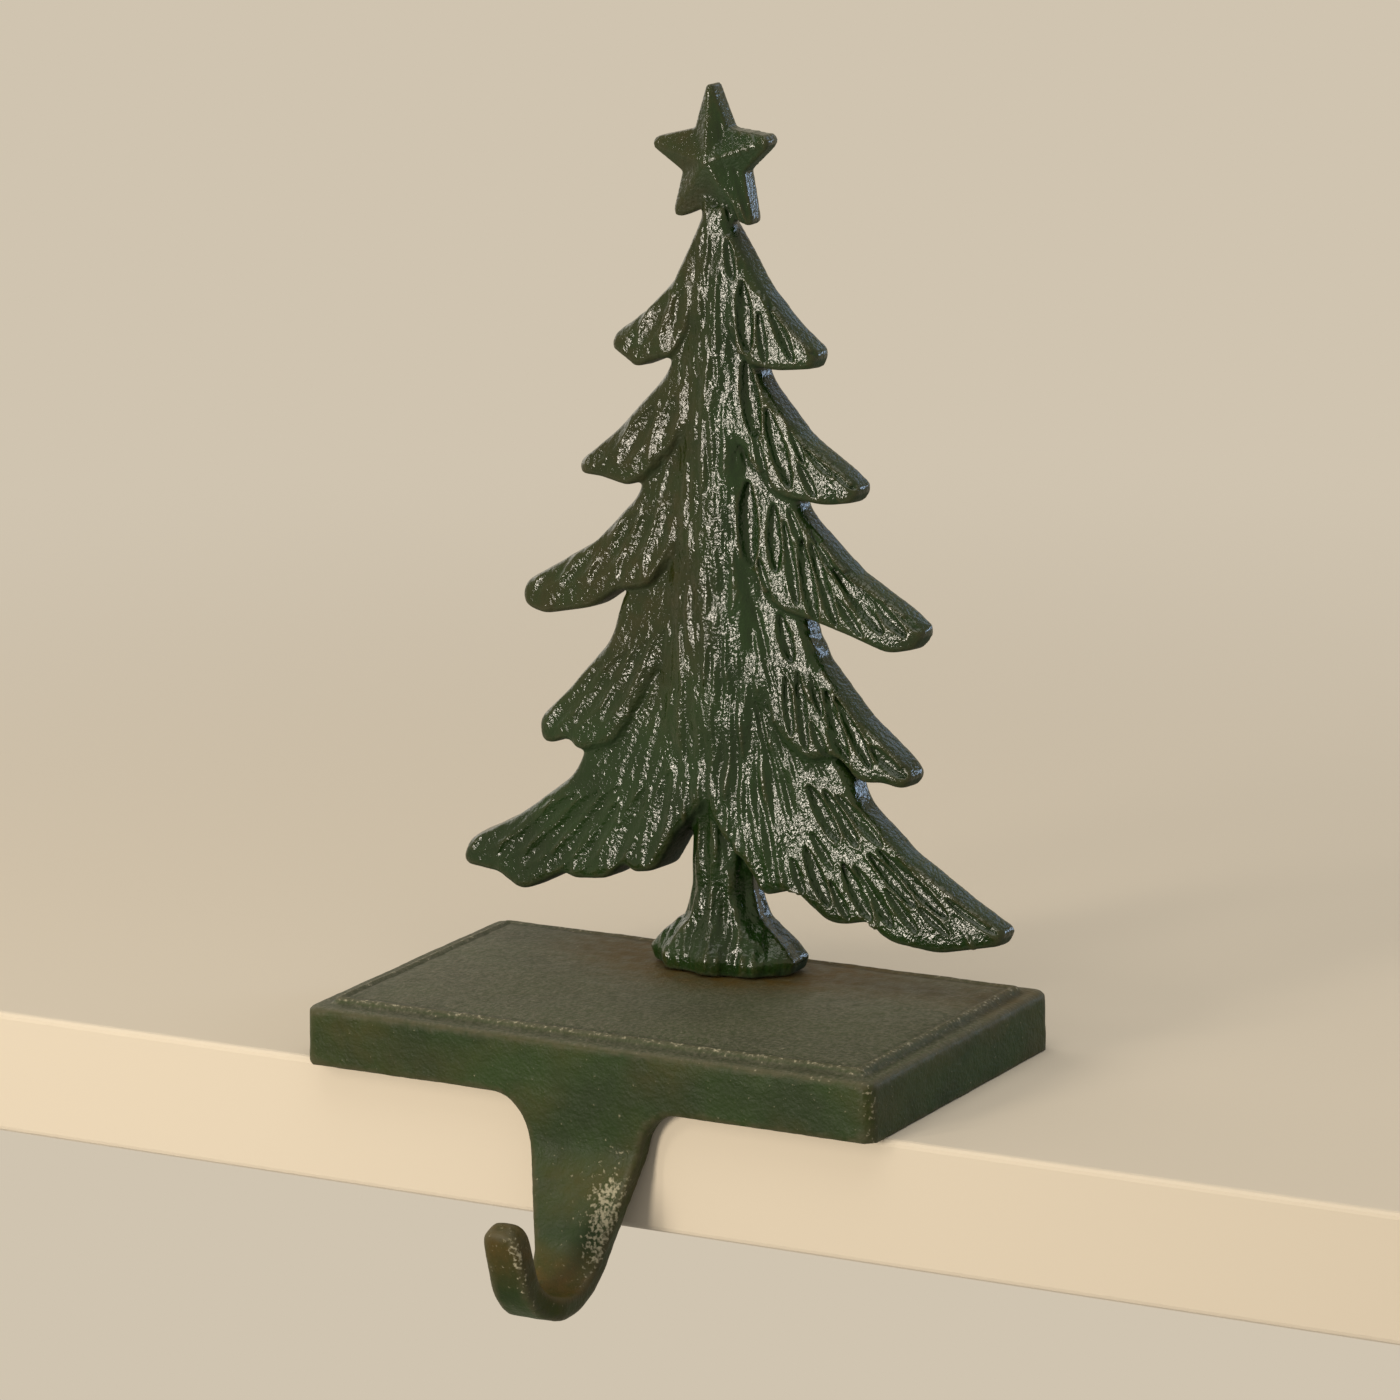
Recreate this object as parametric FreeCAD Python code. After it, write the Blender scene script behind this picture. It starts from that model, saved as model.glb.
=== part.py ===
import FreeCAD, Part

import math
import os

from FreeCAD import Vector

# Mantel stocking holder in sand-cast iron.
# A heavy moulded base sits on the mantel, a strap hangs over its front edge and ends in an upturned
# hook, and a flat fir tree with a star stands near the back of the base, screwed on from below.
# Frame: millimetres, X right along the mantel's edge, Y towards the wall, Z up.
# Origin: mid-width, on the mantel's top front corner, where the base's underside meets the strap's back.

# Base casting
BASE_WIDTH = 120.0
BASE_DEPTH = 70.7
BASE_HEIGHT = 12.7
BASE_CORNER_R = 2.6
SIDE_DRAFT = 0.2
SHOULDER_BEVEL = 0.8
LEDGE_WIDTH = 3.6
PANEL_RISE = 1.3
PANEL_STEP_SLOPE = 0.5
PANEL_EDGE_BEVEL = 0.35
BASE_WALL = 5.6
BASE_ROOF = 4.2
CAVITY_DRAFT = 0.6
CAVITY_CORNER_R = 3.0
SCREW_BOSS_R = 9.2
SCREW_BOSS_HEIGHT = 1.4

# Strap over the mantel's edge, and the hook at its lower end
STRAP_THICKNESS = 4.8
STRAP_STRAIGHT = 6.6
STRAP_ROOT = 1.4
STRAP_TOP_HALF_WIDTH = 14.0
STRAP_FLARE_R = 8.4
STRAP_KNEE_R = 12.0
STRAP_LEAN = 21.0
STRAP_LEAN_LENGTH = 16.6
HOOK_BEND_R = 11.1
HOOK_TIP_FLARE = 16.0
HOOK_TIP_LENGTH = 10.8
HOOK_START_HALF_WIDTH = 7.3
HOOK_LOW_HALF_WIDTH = 5.2
HOOK_TIP_HALF_WIDTH = 3.5
HOOK_TIP_CORNER_R = 3.2
HOOK_BEVEL = 0.8
HOOK_WAIST_R = 16.0

# Tree casting: where it stands, and its stem of root flare, trunk and column.
# Each level has its height above the base, half width, half depth, how far its middle stands in front
# of the boughs' middle, lean to the right and flute depth.
TREE_BACK_GAP = 15.2
FLUTES = 10
STEM = ((0.0, 15.4, 9.9, 0.0, 0.0, 1.1), (2.9, 16.6, 10.4, 0.0, 0.0, 1.3),
        (6.1, 13.4, 9.0, 0.0, 0.0, 1.2), (9.9, 8.8, 7.2, 0.0, 0.0, 1.0),
        (15.3, 7.0, 6.4, 0.0, 0.0, 0.9), (29.3, 6.9, 5.8, 0.4, 0.0, 0.9),
        (47.3, 13.0, 4.9, 2.9, 0.2, 1.0), (71.3, 10.4, 4.6, 2.6, 0.3, 0.9),
        (97.3, 7.9, 4.2, 2.3, 0.4, 0.8), (119.3, 5.8, 3.8, 1.8, 0.8, 0.7),
        (144.3, 3.4, 2.7, 0.8, 1.4, 0.4))

# Boughs: each is a tapered slab with a flat back, thickest at the stem and along its lower edge.
# The face falls off sideways by BOUGH_FALL for each millimetre, the walls lean in from the back by
# BOUGH_DRAFT, and the front rim is bevelled. Each reaches past the stem's middle by BOUGH_OVERLAP.
BOUGH_BACK = 2.0
BOUGH_OVERLAP = 1.5
BOUGH_FALL = 0.11
BOUGH_DRAFT = 0.4
BOUGH_BEVEL = 0.8

# Boughs from the top down: height where the pair starts, how far its face stands in front of the middle
# there and at its foot, height where the two sides meet below, and the corners of the right and the left
# side from the top down (across, height above the mantel, corner radius)
BOUGHS = (
    ("crown", 161.0, 3.0, 6.4, 143.0,
     ((5.4, 152.5, 0), (11.5, 142.4, 12), (17.3, 136.0, 0), (22.9, 131.3, 1.5), (21.5, 128.0, 1.6),
      (13.8, 127.3, 8), (8.6, 128.3, 3)),
     ((-2.9, 153.0, 12), (-7.7, 143.1, 12), (-13.9, 137.1, 0), (-20.5, 132.6, 2.6), (-22.0, 129.4, 1.8),
      (-18.2, 127.6, 0), (-15.6, 125.8, 1.8), (-10.9, 127.7, 0), (-7.0, 128.6, 3))),
    ("second", 150.0, 2.4, 7.2, 122.0,
     ((9.6, 130.0, 4), (11.0, 125.3, 12), (19.4, 115.5, 12), (28.4, 109.4, 0), (31.4, 106.9, 1.6), (29.7, 103.8, 1.8),
      (23.6, 102.9, 12), (14.2, 104.3, 5), (8.8, 111.2, 0)),
     ((-7.8, 131.0, 4), (-9.2, 126.0, 12), (-20.6, 114.2, 0), (-28.8, 107.8, 2.4), (-29.0, 104.7, 1.6), (-24.0, 104.6, 0),
      (-17.6, 103.4, 4), (-13.6, 105.2, 3), (-6.0, 113.3, 0))),
    ("third", 128.0, 2.6, 8.2, 102.0,
     ((17.4, 105.0, 4), (19.0, 100.7, 12), (29.5, 90.9, 0), (41.4, 83.7, 12), (44.1, 81.0, 1.5), (41.7, 77.4, 2.4),
      (36.2, 76.2, 6), (28.4, 79.0, 0), (21.4, 81.2, 0), (13.6, 83.2, 6), (9.0, 89.8, 0)),
     ((-14.8, 106.4, 4), (-16.5, 102.0, 12), (-25.8, 92.7, 12), (-36.0, 86.7, 0), (-42.2, 83.3, 3.2), (-42.4, 78.4, 3),
      (-37.0, 77.1, 6), (-25.4, 79.6, 12), (-20.4, 83.4, 6), (-13.0, 84.8, 5), (-7.4, 91.6, 0))),
    ("fourth", 106.0, 2.8, 8.8, 82.0,
     ((18.6, 82.6, 8), (22.0, 74.2, 12), (31.1, 63.6, 0), (39.6, 56.6, 12), (41.6, 53.9, 1.6),
      (39.7, 50.8, 2.2), (35.0, 51.9, 4), (30.6, 51.5, 4), (25.4, 56.6, 2.2), (20.6, 54.4, 5),
      (14.2, 59.3, 12), (9.0, 67.0, 0)),
     ((-20.6, 82.6, 8), (-22.8, 74.2, 12), (-32.8, 63.3, 0), (-39.3, 57.2, 4), (-38.1, 51.5, 3),
      (-31.9, 53.7, 1.6), (-29.4, 51.6, 2.6), (-20.6, 54.2, 6), (-15.6, 62.0, 0), (-9.6, 73.0, 12))),
    ("skirt", 82.0, 4.2, 10.0, 47.4,
     ((28.4, 53.4, 8), (30.2, 47.4, 12), (40.2, 38.6, 0), (52.3, 30.7, 0), (60.2, 26.3, 1.5),
      (58.4, 23.1, 1.6), (46.4, 20.7, 9), (36.0, 22.1, 9), (32.5, 25.5, 2), (24.8, 23.9, 8),
      (17.6, 30.2, 3), (11.2, 28.4, 2.2), (8.4, 33.4, 8), (2.2, 39.4, 12)),
     ((-28.6, 53.4, 8), (-31.4, 47.2, 12), (-44.5, 37.7, 0), (-56.0, 31.8, 4), (-58.2, 26.3, 2.4), (-48.6, 25.7, 2.4),
      (-43.0, 22.6, 5), (-33.0, 27.6, 1.5), (-30.6, 26.8, 3), (-23.0, 27.7, 5), (-18.8, 31.2, 1.2),
      (-17.0, 29.7, 2.2), (-11.6, 30.7, 4), (-6.6, 39.2, 0))),
)

# Carved hollows: fans of gouge strokes from a pivot to the bough's lower edge.
# Each fan has its tier, pivot, first and last point along the edge, and the gouge that cut it.
FANS = (
    ("crown", (4.0, 153.0), (8.6, 130.4), (20.8, 130.6), "leaf"),
    ("crown", (-1.0, 152.0), (-8.6, 129.6), (-19.6, 131.6), "groove"),
    ("second", (4.0, 135.0), (11.6, 108.6), (29.0, 106.4), "leaf"),
    ("second", (-2.0, 133.0), (-11.6, 108.2), (-26.6, 106.8), "groove"),
    ("third", (5.0, 115.0), (13.2, 86.2), (41.2, 80.4), "leaf"),
    ("third", (-3.0, 116.0), (-13.4, 87.2), (-39.6, 81.2), "groove"),
    ("fourth", (5.0, 92.0), (15.0, 61.8), (39.2, 54.2), "leaf"),
    ("fourth", (-3.0, 92.0), (-17.4, 59.6), (-36.6, 55.2), "groove"),
    ("skirt", (6.0, 66.0), (13.4, 30.6), (30.0, 26.4), "leaf"),
    ("skirt", (12.0, 62.0), (35.4, 24.8), (56.6, 25.4), "leaf"),
    ("skirt", (-4.0, 66.0), (-14.0, 31.6), (-30.6, 28.4), "groove"),
    ("skirt", (-6.0, 62.0), (-37.0, 27.2), (-55.0, 29.4), "groove"),
)
STROKE_NEAR = 0.46
STROKE_NEAR_OUTER = 0.62
STROKE_FAR = 0.97
STROKE_CLEAR = 3.0

# Gouges: depth and half width of a stroke, and the distance from one stroke of a fan to the next
GOUGES = {"leaf": (0.9, 1.1, 5.4), "groove": (0.5, 1.0, 7.0)}

# Star on the tree's tip: outline corners (across, height above the mantel, corner radius)
STAR_OUTLINE = ((0.1, 181.0, 0.8), (4.0, 171.5, 0.6), (14.2, 170.4, 1.5), (7.2, 163.8, 0.6),
                (9.2, 152.6, 1.2), (0.6, 157.6, 0.6), (-8.4, 153.8, 1.2), (-5.8, 163.2, 0.6),
                (-13.9, 168.7, 1.5), (-3.1, 171.3, 0.6))
STAR_CENTRE = (0.6, 165.6)
STAR_RIM = 3.6
STAR_RELIEF = 5.0

# Screw, washer and the holes they need
SCREW_D = 5.8
SCREW_HEAD_D = 11.6
SCREW_HEAD_HEIGHT = 3.4
SCREW_SLOT_WIDTH = 1.4
SCREW_SLOT_DEPTH = 1.6
SCREW_GRIP = 13.0
SCREW_HEAD_BEVEL = 0.9
SCREW_TIP_CHAMFER = 0.8
THREAD_CLEARANCE = 0.1
TAPPED_EXTRA = 3.0
HOLE_CLEARANCE = 0.9
WASHER_D = 16.0
WASHER_THICKNESS = 1.6
WASHER_CLEARANCE = 0.4

# Largest share of an outline's side that the arc at one corner may take
CORNER_SHARE = 0.46

# Two places this near each other count as one
SAME_PLACE = 0.0001

# Worked out from the sizes above
FRONT_Y = -STRAP_THICKNESS
BACK_Y = BASE_DEPTH - STRAP_THICKNESS
SHOULDER_HEIGHT = BASE_HEIGHT - PANEL_RISE
TREE_Y = BACK_Y - TREE_BACK_GAP
TREE_BACK_Y = TREE_Y + BOUGH_BACK
CEILING_Z = BASE_HEIGHT - BASE_ROOF
BOSS_FACE_Z = CEILING_Z - SCREW_BOSS_HEIGHT
HEAD_TOP_Z = BOSS_FACE_Z - WASHER_THICKNESS


def polyhedron(loops):
    """Solid with one flat face for each loop of points."""
    faces = [Part.Face(Part.makePolygon(loop + loop[:1])) for loop in loops]
    body = Part.Solid(Part.Shell(faces))
    if body.Volume < 0:
        body.reverse()
    return body


def between_rings(low, high):
    """Solid between two level rings of points whose sides are flat."""
    loops = [low[::-1], high]
    for i in range(len(low)):
        k = (i + 1) % len(low)
        loops.append([low[i], low[k], high[k], high[i]])
    return polyhedron(loops)


def base_block(inset_low, inset_high, z_low, z_high, radius):
    """Block with the base's plan, drafted from one inset at its foot to another at its top."""
    rings = []
    for inset, z in ((inset_low, z_low), (inset_high, z_high)):
        x = BASE_WIDTH / 2 - inset
        y_near = FRONT_Y + inset
        y_far = BACK_Y - inset
        rings.append([Vector(-x, y_near, z), Vector(x, y_near, z), Vector(x, y_far, z), Vector(-x, y_far, z)])
    block = between_rings(*rings)
    corners = [e for e in block.Edges if e.BoundBox.ZMax - e.BoundBox.ZMin > (z_high - z_low) / 2]
    return block.makeFillet(radius, corners)


def blend(a, b, t):
    return a + (b - a) * t


def level_edges(shape, z):
    """Edges of a shape that lie flat at one height."""
    found = []
    for edge in shape.Edges:
        box = edge.BoundBox
        if abs(box.ZMin - z) < SAME_PLACE and abs(box.ZMax - z) < SAME_PLACE:
            found.append(edge)
    return found


def make_base():
    body = base_block(0, SIDE_DRAFT, 0, SHOULDER_HEIGHT, BASE_CORNER_R)
    body = body.makeChamfer(SHOULDER_BEVEL, level_edges(body, SHOULDER_HEIGHT))
    panel_inset = SIDE_DRAFT + LEDGE_WIDTH
    panel = base_block(panel_inset, panel_inset + PANEL_STEP_SLOPE, SHOULDER_HEIGHT, BASE_HEIGHT,
                       BASE_CORNER_R / 2)
    panel = panel.makeChamfer(PANEL_EDGE_BEVEL, level_edges(panel, BASE_HEIGHT))
    body = body.fuse(panel).removeSplitter()
    cavity = base_block(BASE_WALL, BASE_WALL + CAVITY_DRAFT, 0, CEILING_Z, CAVITY_CORNER_R)
    body = body.cut(cavity)
    boss = Part.makeCylinder(SCREW_BOSS_R, SCREW_BOSS_HEIGHT, Vector(0, TREE_Y, BOSS_FACE_Z))
    return body.fuse(boss)


def inner_corners(corners, inset):
    """Corners of an outline moved in from its sides, with radii that keep the arcs concentric."""
    count = len(corners)
    places = [Vector(x, z, 0) for x, z, _ in corners]
    around = sum(places[i - 1].cross(places[i]).z for i in range(count))
    moved = []
    for i in range(count):
        before = (places[i] - places[i - 1]).normalize()
        after = (places[(i + 1) % count] - places[i]).normalize()
        turn = before.cross(after).z * around
        to_inside = 1 if around > 0 else -1
        normals = [Vector(-side.y, side.x, 0) * to_inside for side in (before, after)]
        place = places[i] + (normals[0] + normals[1]) * (inset / (1 + normals[0].dot(normals[1])))
        radius = corners[i][2]
        if radius:
            radius += -inset if turn > 0 else inset
        moved.append((place.x, place.y, radius))
    return moved


def rounded_outline(corners, to_point):
    """Closed wire through corners (across, up, radius): an arc at each corner, or none for radius 0.

    An arc takes at most CORNER_SHARE of the shorter side next to its corner.
    """
    count = len(corners)
    turns = []
    for i in range(count):
        corner = Vector(*corners[i][:2], 0)
        back = Vector(*corners[i - 1][:2], 0) - corner
        ahead = Vector(*corners[(i + 1) % count][:2], 0) - corner
        room = CORNER_SHARE * min(back.Length, ahead.Length)
        back.normalize()
        ahead.normalize()
        half = back.getAngle(ahead) / 2
        cut = min(corners[i][2] / math.tan(half), room)
        radius = cut * math.tan(half)
        inward = (back + ahead).normalize() * (radius / math.sin(half) - radius)
        turns.append([to_point(*p[:2]) for p in (corner + back * cut, corner + inward, corner + ahead * cut)])
    edges = []
    for i in range(count):
        if corners[i][2]:
            edges.append(Part.Arc(*turns[i]).toShape())
        edges.append(Part.LineSegment(turns[i][2], turns[(i + 1) % count][0]).toShape())
    return Part.Wire(edges)


def in_front_view(x, z):
    return Vector(x, 0, z)


def in_plan(x, y):
    return Vector(x, y, 0)


def slab(wire, direction):
    """Solid that stands as far to one side of the wire's plane as to the other."""
    face = Part.Face(wire)
    face.translate(direction * -0.5)
    return face.extrude(direction)


def strap_centreline():
    """Key points of the strap's middle line in the side view: place, heading, and the arcs' centres."""
    lean = math.radians(STRAP_LEAN)
    bend = math.radians(180 - STRAP_LEAN - HOOK_TIP_FLARE)
    legs = [("line", STRAP_ROOT + STRAP_STRAIGHT), ("arc", STRAP_KNEE_R, lean), ("line", STRAP_LEAN_LENGTH),
            ("arc", HOOK_BEND_R, bend), ("line", HOOK_TIP_LENGTH)]
    place = Vector(0, FRONT_Y + STRAP_THICKNESS / 2, STRAP_ROOT)
    heading = 0.0
    marks = [(place, heading, None)]
    for leg in legs:
        if leg[0] == "line":
            place = place + Vector(0, -math.sin(heading), -math.cos(heading)) * leg[1]
            marks.append((place, heading, None))
        else:
            centre = place + Vector(0, -math.cos(heading), math.sin(heading)) * leg[1]
            heading += leg[2]
            place = centre - Vector(0, -math.cos(heading), math.sin(heading)) * leg[1]
            marks.append((place, heading, centre))
    return marks


def beside(mark, offset):
    """Point beside the strap's middle line, on its outer side for a positive offset."""
    place, heading, _ = mark
    return place + Vector(0, math.cos(heading), -math.sin(heading)) * offset


def strap_side_profile():
    """The strap and hook seen from the side: both faces parallel to the middle line, and a square tip."""
    marks = strap_centreline()
    half = STRAP_THICKNESS / 2
    edges = []
    for offset in (half, -half):
        run = []
        for start, end in zip(marks, marks[1:]):
            a = beside(start, offset)
            b = beside(end, offset)
            if end[2] is None:
                run.append(Part.LineSegment(a, b).toShape())
            else:
                heading = (start[1] + end[1]) / 2
                radius = (start[0] - end[2]).Length + offset
                middle = end[2] + Vector(0, math.cos(heading), -math.sin(heading)) * radius
                run.append(Part.Arc(a, middle, b).toShape())
        edges.append(run)
    ends = [Part.LineSegment(beside(mark, -half), beside(mark, half)).toShape() for mark in (marks[0], marks[-1])]
    return Part.Wire(edges[0] + ends[1:] + edges[1][::-1] + ends[:1])


def mirrored(half):
    """Corners of half an outline and their mirror images, in order round the whole outline."""
    return half + [(-across, up, radius) for across, up, radius in half[::-1]]


def strap_front_outline():
    """The strap seen from the front: flared under the base, tapered to the hook."""
    marks = strap_centreline()
    bend_z = marks[3][0].z
    low_z = marks[4][2].z - HOOK_BEND_R - STRAP_THICKNESS
    flare_x = STRAP_TOP_HALF_WIDTH + 2 * STRAP_FLARE_R
    return rounded_outline(mirrored([(flare_x, STRAP_ROOT, 0), (flare_x, 0, 0),
                                     (STRAP_TOP_HALF_WIDTH, 0, STRAP_FLARE_R),
                                     (HOOK_START_HALF_WIDTH, bend_z, HOOK_WAIST_R),
                                     (HOOK_LOW_HALF_WIDTH, low_z, 0)]), in_front_view)


def hook_plan_outline():
    """The hook seen from above: tapered towards the tip, and left open behind for the strap."""
    marks = strap_centreline()
    low_y = marks[4][2].y
    tip_y = marks[-1][0].y - STRAP_THICKNESS
    open_x = STRAP_TOP_HALF_WIDTH + 3 * STRAP_FLARE_R
    return rounded_outline(mirrored([(open_x, STRAP_THICKNESS, 0), (open_x, FRONT_Y, 0),
                                     (HOOK_LOW_HALF_WIDTH, low_y, HOOK_WAIST_R),
                                     (HOOK_TIP_HALF_WIDTH, tip_y, 0)]), in_plan)


def make_strap():
    wide = 4 * (STRAP_TOP_HALF_WIDTH + STRAP_FLARE_R)
    body = slab(strap_side_profile(), Vector(wide, 0, 0))
    body = body.common(slab(strap_front_outline(), Vector(0, wide * 2, 0)))
    body = body.common(slab(hook_plan_outline(), Vector(0, 0, wide * 2)))
    tip, heading, _ = strap_centreline()[-1]
    ahead = Vector(0, -math.sin(heading), -math.cos(heading))
    tip_edges = [e for e in body.Edges if abs((e.CenterOfMass - tip).dot(ahead)) < SAME_PLACE]
    tip_corners = [e for e in tip_edges if e.BoundBox.XLength < STRAP_THICKNESS / 2]
    body = body.makeFillet(HOOK_TIP_CORNER_R, tip_corners)
    rims = []
    for edge in body.Edges:
        box = edge.BoundBox
        one_side = box.XMin * box.XMax > 0
        if one_side and box.ZMin < -SAME_PLACE:
            rims.append(edge)
    return body.makeChamfer(HOOK_BEVEL, rims)


def make_hook_base():
    body = make_base().fuse(make_strap())
    hole_r = (SCREW_D + HOLE_CLEARANCE) / 2
    hole = Part.makeCylinder(hole_r, BASE_HEIGHT, Vector(0, TREE_Y, 0))
    return body.cut(hole).removeSplitter()


def stem_level(z, half_width, half_depth, forward, lean, flute_depth):
    """Closed level outline of the stem: an oval of ribs with a groove between each two."""
    points = []
    for i in range(2 * FLUTES):
        sink = flute_depth * (i % 2)
        a = math.pi * i / FLUTES
        points.append(Vector(lean + (half_width - sink) * math.sin(a),
                             TREE_Y - forward - (half_depth - sink) * math.cos(a), BASE_HEIGHT + z))
    return Part.makePolygon(points + points[:1])


def make_stem():
    """Root flare, trunk and column: one run of bark ribs from the base up to the star."""
    return Part.makeLoft([stem_level(*level) for level in STEM], True, True)


def bough_face(pair, outward, x, z):
    """Point on a bough's face at a place in the front view; outward is 1 on the right and -1 on the left."""
    _, top, top_relief, low_relief, _, right, left = pair
    low = min(corner[1] for corner in right + left)
    relief = blend(top_relief, low_relief, (top - z) / (top - low)) - BOUGH_FALL * outward * x
    return Vector(x, TREE_Y - relief, z)


def make_bough(pair, side):
    """Bough on one side of the stem: flat back, drafted walls, bevelled front rim and tapered face."""
    outward = math.copysign(1, side[0][0])
    root = -outward * BOUGH_OVERLAP
    outline = [(root, pair[1], 0), *side, (root, pair[4], 0)]

    def on_face(x, z):
        return bough_face(pair, outward, x, z)

    def behind_rim(x, z):
        return on_face(x, z) + Vector(0, BOUGH_BEVEL, 0)

    def on_back(x, z):
        return Vector(x, TREE_BACK_Y, z)

    wires = [rounded_outline(inner_corners(outline, BOUGH_DRAFT + BOUGH_BEVEL), on_face),
             rounded_outline(inner_corners(outline, BOUGH_DRAFT), behind_rim),
             rounded_outline(outline, on_back)]
    return Part.makeLoft(wires, True, True)


def make_stroke(pair, start, end, depth, half_width):
    """Cutter for one carved hollow: a V-edged wheel that dips below the bough's face between two places."""
    outward = math.copysign(1, end[0])
    ends = [bough_face(pair, outward, *place) for place in (start, end)]
    along = ends[1] - ends[0]
    length = along.Length
    along.normalize()
    across = along.cross(Vector(0, -1, 0)).normalize()
    outward = across.cross(along)
    wheel = (length ** 2 / 4 + depth ** 2) / (2 * depth)
    hub = (ends[0] + ends[1]) * 0.5 + outward * (wheel - depth)
    spread = half_width * STROKE_CLEAR / depth
    cutter = Part.makeCone(wheel, wheel - depth * STROKE_CLEAR, spread * depth, hub, across)
    return cutter.fuse(Part.makeCone(wheel, wheel - depth * STROKE_CLEAR, spread * depth, hub, across * -1))


def fan_strokes(pivot, first, last, pitch):
    """Ends of the strokes of one fan, from its pivot out to points along the bough's lower edge."""
    strokes = []
    gaps = max(1, round(math.dist(first, last) / pitch))
    for i in range(gaps + 1):
        t = i / gaps
        tip = [blend(a, b, t) for a, b in zip(first, last)]
        near = blend(STROKE_NEAR, STROKE_NEAR_OUTER, t)
        start = [blend(a, b, near) for a, b in zip(pivot, tip)]
        end = [blend(a, b, STROKE_FAR) for a, b in zip(pivot, tip)]
        strokes.append((start, end))
    return strokes


def make_star():
    """Five-pointed star with a raised middle: ridges run to its tips and valleys between them."""
    corners = [Vector(x, TREE_Y, z) for x, z, _ in STAR_OUTLINE]
    middle = Vector(STAR_CENTRE[0], TREE_Y, STAR_CENTRE[1])
    rim = Vector(0, STAR_RIM / 2, 0)
    peak = Vector(0, STAR_RELIEF, 0)
    loops = []
    for a, b in zip(corners, corners[1:] + corners[:1]):
        loops += [[a - rim, b - rim, middle - peak], [b + rim, a + rim, middle + peak],
                  [a - rim, a + rim, b + rim, b - rim]]
    round_tips = slab(rounded_outline(STAR_OUTLINE, in_front_view), Vector(0, 4 * STAR_RELIEF, 0))
    round_tips.translate(Vector(0, TREE_Y, 0))
    return polyhedron(loops).common(round_tips)


def make_tree():
    """The tree casting: stem, boughs with their carved hollows, star, and the tapped hole in its foot."""
    pieces = [make_star()]
    for pair in BOUGHS:
        for side in pair[5:]:
            bough = make_bough(pair, side)
            cutters = []
            for name, pivot, first, last, gouge in FANS:
                if name == pair[0] and last[0] * side[0][0] > 0:
                    depth, half_width, pitch = GOUGES[gouge]
                    for start, end in fan_strokes(pivot, first, last, pitch):
                        cutters.append(make_stroke(pair, start, end, depth, half_width))
            pieces.append(bough.cut(cutters))
    body = make_stem().fuse(pieces)
    hole = Part.makeCylinder(SCREW_D / 2 + THREAD_CLEARANCE, SCREW_GRIP + TAPPED_EXTRA,
                             Vector(0, TREE_Y, BASE_HEIGHT))
    return body.cut(hole)


def make_screw():
    """Pan-head machine screw from below, with a slot across its head."""
    head_low = HEAD_TOP_Z - SCREW_HEAD_HEIGHT
    head = Part.makeCylinder(SCREW_HEAD_D / 2, SCREW_HEAD_HEIGHT, Vector(0, TREE_Y, head_low))
    head = head.makeChamfer(SCREW_HEAD_BEVEL, level_edges(head, head_low))
    tip_z = BASE_HEIGHT + SCREW_GRIP
    shank = Part.makeCylinder(SCREW_D / 2, tip_z - HEAD_TOP_Z, Vector(0, TREE_Y, HEAD_TOP_Z))
    shank = shank.makeChamfer(SCREW_TIP_CHAMFER, level_edges(shank, tip_z))
    slot = Part.makeBox(2 * SCREW_HEAD_D, SCREW_SLOT_WIDTH, SCREW_SLOT_DEPTH,
                        Vector(-SCREW_HEAD_D, TREE_Y - SCREW_SLOT_WIDTH / 2, head_low))
    return head.fuse(shank).cut(slot).removeSplitter()


def make_washer():
    corner = Vector(0, TREE_Y, HEAD_TOP_Z)
    ring = Part.makeCylinder(WASHER_D / 2, WASHER_THICKNESS, corner)
    return ring.cut(Part.makeCylinder((SCREW_D + WASHER_CLEARANCE) / 2, WASHER_THICKNESS, corner))


NODES = {"hook_base": make_hook_base, "tree": make_tree, "tree_screw": make_screw,
         "screw_washer": make_washer}

os.makedirs("parts", exist_ok=True)
for name, make in NODES.items():
    make().exportStep(f"parts/{name}.step")
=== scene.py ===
# %% [markdown]
# # A cast-iron stocking holder for a mantel
# The holder is two iron castings: a moulded base whose strap ends in a hook, and a fir tree screwed on top.
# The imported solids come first, as a fixed frame that everything else is measured from. Each casting could
# be shown as that solid, but its faces are too flat and its edges too keen for iron poured in sand. So each
# gets a copy that is remeshed, softened, carved a little further and painted.

# %% Load the frame
import math

import bmesh
import bpy
import numpy as np
from mathutils import Matrix, Vector, noise


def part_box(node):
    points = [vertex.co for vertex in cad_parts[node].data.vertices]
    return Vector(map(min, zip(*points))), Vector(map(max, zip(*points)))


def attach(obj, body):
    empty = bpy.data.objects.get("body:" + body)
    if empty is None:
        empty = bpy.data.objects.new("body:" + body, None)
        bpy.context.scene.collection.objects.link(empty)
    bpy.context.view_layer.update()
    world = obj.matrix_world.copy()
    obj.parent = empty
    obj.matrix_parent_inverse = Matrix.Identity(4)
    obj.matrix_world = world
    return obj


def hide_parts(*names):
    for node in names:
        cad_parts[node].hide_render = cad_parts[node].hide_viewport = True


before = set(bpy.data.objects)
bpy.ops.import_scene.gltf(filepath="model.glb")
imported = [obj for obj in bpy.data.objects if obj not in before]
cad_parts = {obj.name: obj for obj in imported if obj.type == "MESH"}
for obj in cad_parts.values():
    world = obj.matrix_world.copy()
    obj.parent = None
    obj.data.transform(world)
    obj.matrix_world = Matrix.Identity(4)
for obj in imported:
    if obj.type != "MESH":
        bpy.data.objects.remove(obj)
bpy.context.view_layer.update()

MM = 0.001
print("frame nodes:", sorted(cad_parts))

# %% [markdown]
# ## The camera
# The photograph was taken from the right of the front and a little above, with a long lens, so the base's
# far edge is hardly smaller than its near one. A camera is placed by the point it aims at, its distance,
# its direction round the object and a small roll.

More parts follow.
